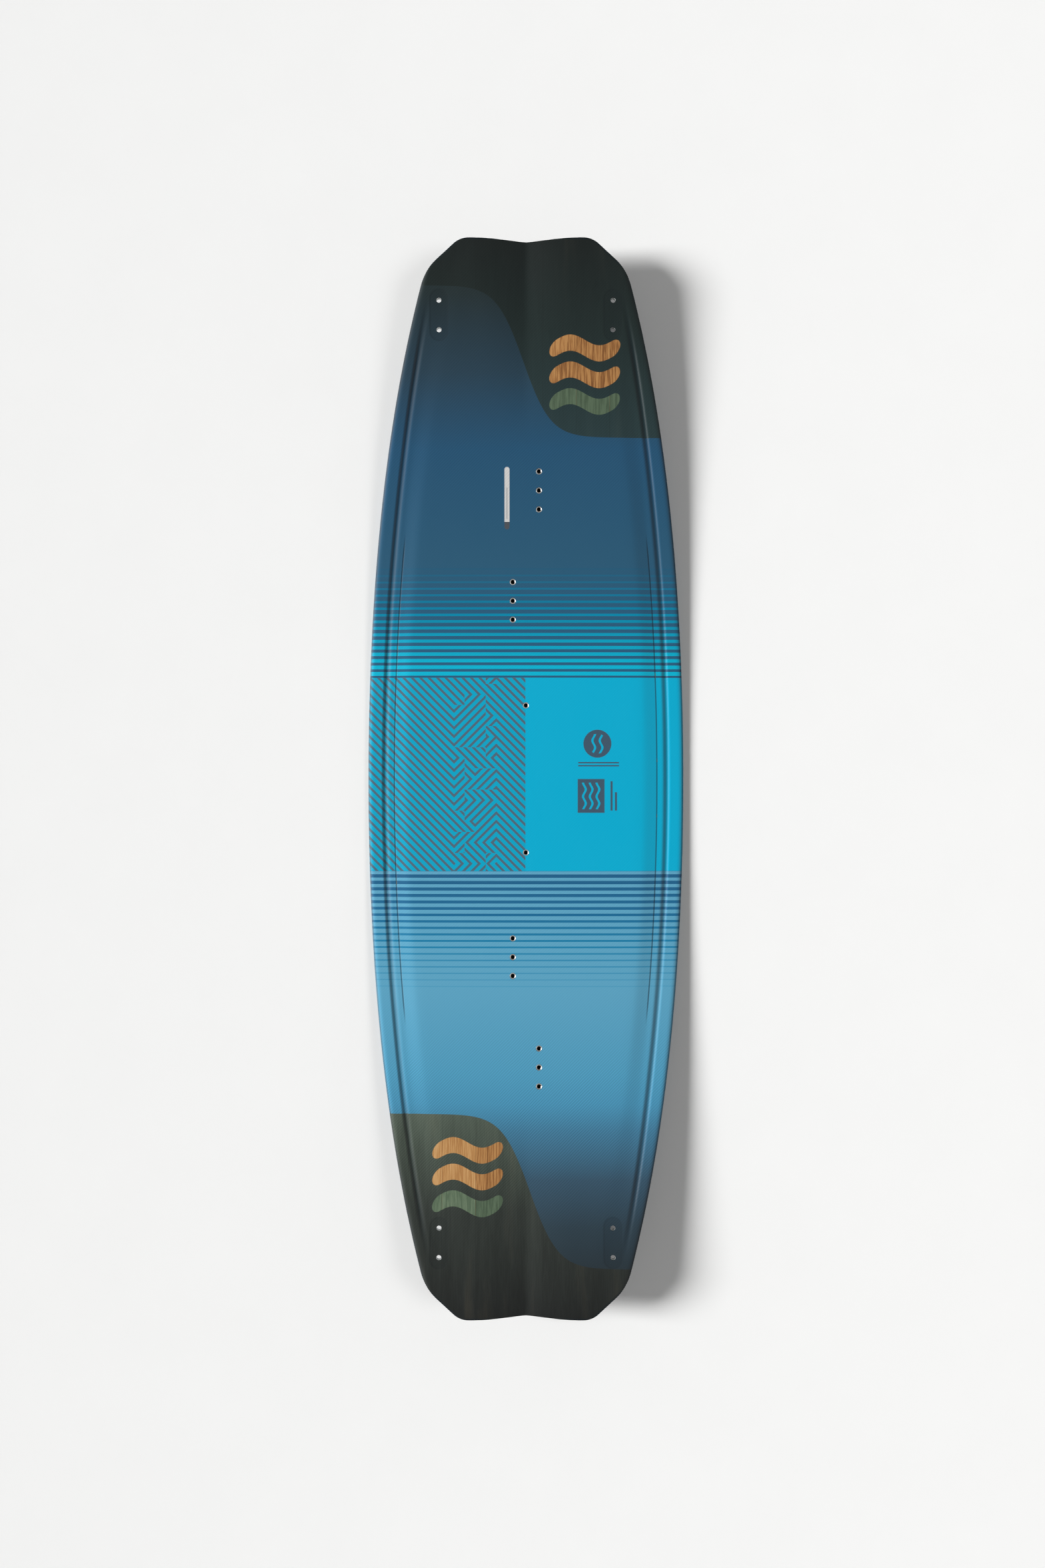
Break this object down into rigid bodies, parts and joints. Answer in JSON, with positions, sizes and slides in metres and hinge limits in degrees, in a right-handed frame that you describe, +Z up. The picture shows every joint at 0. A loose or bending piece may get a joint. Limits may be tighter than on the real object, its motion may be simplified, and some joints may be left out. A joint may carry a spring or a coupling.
{
  "type": "kiteboard",
  "caption": "Bare twin-tip kiteboard with rocker, moulded side channels, vee tips, binding and handle inserts and open fin holes.",
  "frame": {"origin": "on the floor under the middle of the board, at the lowest point of the base", "axes": "+X along the board to the front tip, +Y across to the toe side, +Z up out of the deck"},
  "size_m": [1.44, 0.43, 0.0523],
  "materials": {
    "deck_print": "gloss printed top sheet in blues over dark stained wood ends",
    "base_print": "gloss printed base sheet",
    "glass_laminate": "biaxial glass cloth in epoxy",
    "carbon_tape": "unidirectional carbon tape in epoxy",
    "paulownia": "sanded pale strip wood, grain along the board",
    "abs_rail": "milled black ABS",
    "insert_block": "dense foam filler",
    "insert_steel": "turned stainless steel",
    "fin_bush": "moulded plastic tube"
  },
  "bodies": {
    "root": {"base_laminate": "glass_laminate", "base_sheet": "base_print", "carbon_beam_heel_side": "carbon_tape", "carbon_beam_toe_side": "carbon_tape", "core_strip_centre": "paulownia", "core_strip_heel_1": "paulownia", "core_strip_heel_2": "paulownia", "core_strip_heel_3": "paulownia", "core_strip_heel_4": "paulownia", "core_strip_toe_1": "paulownia", "core_strip_toe_2": "paulownia", "core_strip_toe_3": "paulownia", "core_strip_toe_4": "paulownia", "deck_laminate": "glass_laminate", "deck_sheet": "deck_print", "front_heel_fin_block": "insert_block", "front_heel_fin_bushes": "fin_bush", "front_inner_insert_block": "insert_block", "front_inner_inserts": "insert_steel", "front_outer_insert_block": "insert_block", "front_outer_inserts": "insert_steel", "front_tip_rail": "abs_rail", "front_toe_fin_block": "insert_block", "front_toe_fin_bushes": "fin_bush", "handle_insert_plugs": "insert_block", "handle_inserts": "insert_steel", "heel_side_rail": "abs_rail", "rear_heel_fin_block": "insert_block", "rear_heel_fin_bushes": "fin_bush", "rear_inner_insert_block": "insert_block", "rear_inner_inserts": "insert_steel", "rear_outer_insert_block": "insert_block", "rear_outer_inserts": "insert_steel", "rear_tip_rail": "abs_rail", "rear_toe_fin_block": "insert_block", "rear_toe_fin_bushes": "fin_bush", "toe_side_rail": "abs_rail"}
  },
  "joints": []
}
